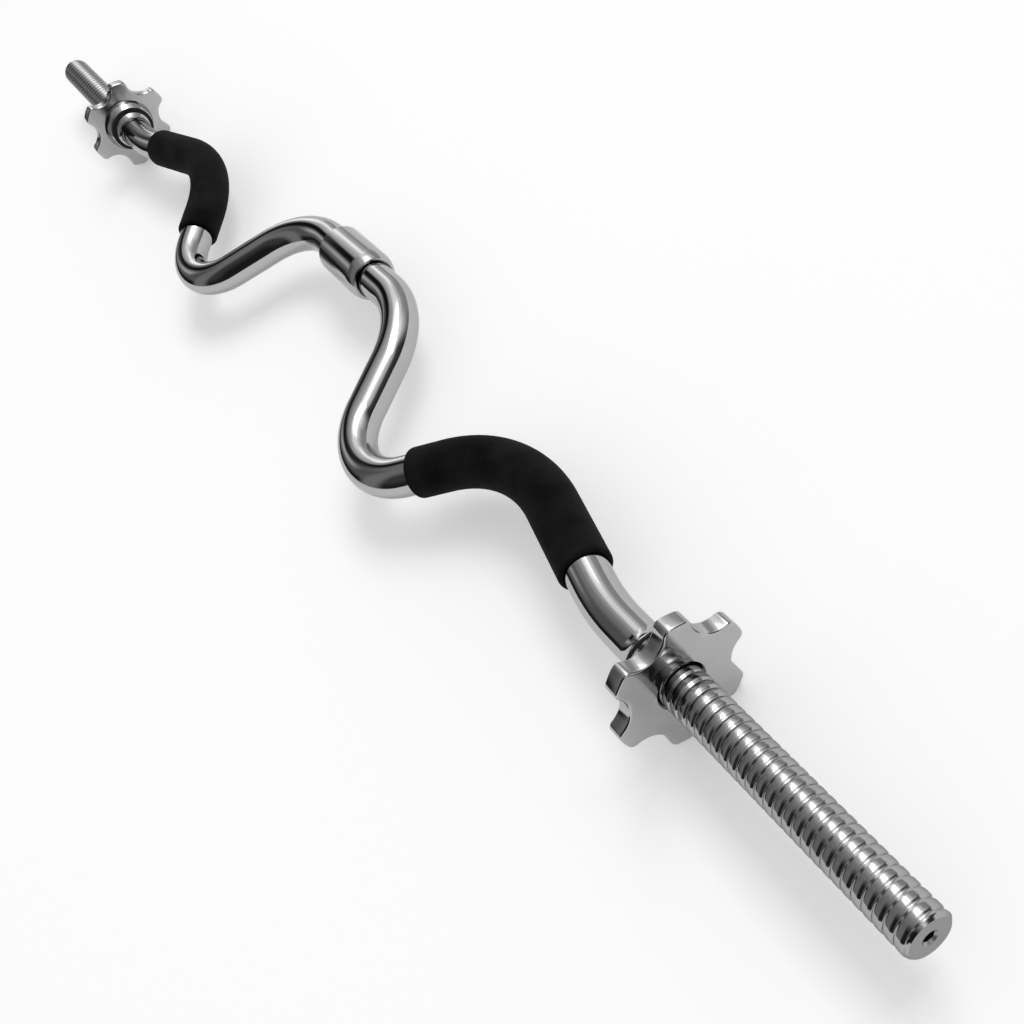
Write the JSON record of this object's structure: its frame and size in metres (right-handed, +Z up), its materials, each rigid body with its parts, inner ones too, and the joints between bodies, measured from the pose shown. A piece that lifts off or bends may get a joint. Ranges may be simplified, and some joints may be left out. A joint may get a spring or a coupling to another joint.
{
  "type": "curl bar",
  "caption": "Cambered curl bar of chromed steel with foam grips, a screwed union at its middle, threaded plate ends, fixed collars and lobed star nuts over rubber washers.",
  "frame": {"origin": "On the floor under the middle of the bar's bounding box, with the bar standing on the lower lobes of its star nuts.", "axes": "+X runs along the bar to the end nearest the camera, +Y lies in the plane of the bends towards the side of the middle arch, +Z is up and square to that plane."},
  "size_m": [1.2, 0.1176, 0.0702],
  "materials": {
    "bar_chrome": "polished",
    "sleeve_chrome": "polished",
    "nut_chrome": "polished casting",
    "washer_rubber": "matte",
    "grip_foam": "matte closed-cell foam",
    "inner_steel": "machined"
  },
  "bodies": {
    "right_half": {"right_bar": "bar_chrome", "right_collar": "bar_chrome", "right_grip": "grip_foam", "shoulder_ring": "inner_steel", "locating_key": "inner_steel"},
    "union": {"coupling_sleeve": "sleeve_chrome"},
    "left_half": {"left_bar": "bar_chrome", "left_collar": "bar_chrome", "left_grip": "grip_foam", "threaded_ferrule": "inner_steel"},
    "right_washer_ring": {"right_washer": "washer_rubber"},
    "right_nut": {"right_star_nut": "nut_chrome"},
    "left_washer_ring": {"left_washer": "washer_rubber"},
    "left_nut": {"left_star_nut": "nut_chrome"}
  },
  "joints": [
    {"name": "sleeve_turn", "type": "hinge", "parent": "right_half", "child": "union", "pos_m": [0, 0.04158, 0.03508], "axis": [1, 0, 0], "range_deg": [0, 4680]},
    {"name": "left_half_draw", "type": "slide", "parent": "right_half", "child": "left_half", "axis": [-1, 0, 0], "range_m": [0, 0.02601]},
    {"name": "right_nut_turn", "type": "hinge", "parent": "right_washer_ring", "child": "right_nut", "pos_m": [0, -0.00292, 0.03508], "axis": [1, 0, 0], "range_deg": [0, 9360]},
    {"name": "right_nut_travel", "type": "slide", "parent": "right_half", "child": "right_washer_ring", "axis": [1, 0, 0], "range_m": [0, 0.16121]},
    {"name": "left_nut_turn", "type": "hinge", "parent": "left_washer_ring", "child": "left_nut", "pos_m": [0, -0.00292, 0.03508], "axis": [-1, 0, 0], "range_deg": [0, 9360]},
    {"name": "left_nut_travel", "type": "slide", "parent": "left_half", "child": "left_washer_ring", "axis": [-1, 0, 0], "range_m": [0, 0.16121]}
  ],
  "couplings": [
    {"joint": "left_half_draw", "follows": "sleeve_turn", "m_per_rad": 0.00031831},
    {"joint": "right_nut_travel", "follows": "right_nut_turn", "m_per_rad": 0.00098676},
    {"joint": "left_nut_travel", "follows": "left_nut_turn", "m_per_rad": 0.00098676}
  ]
}
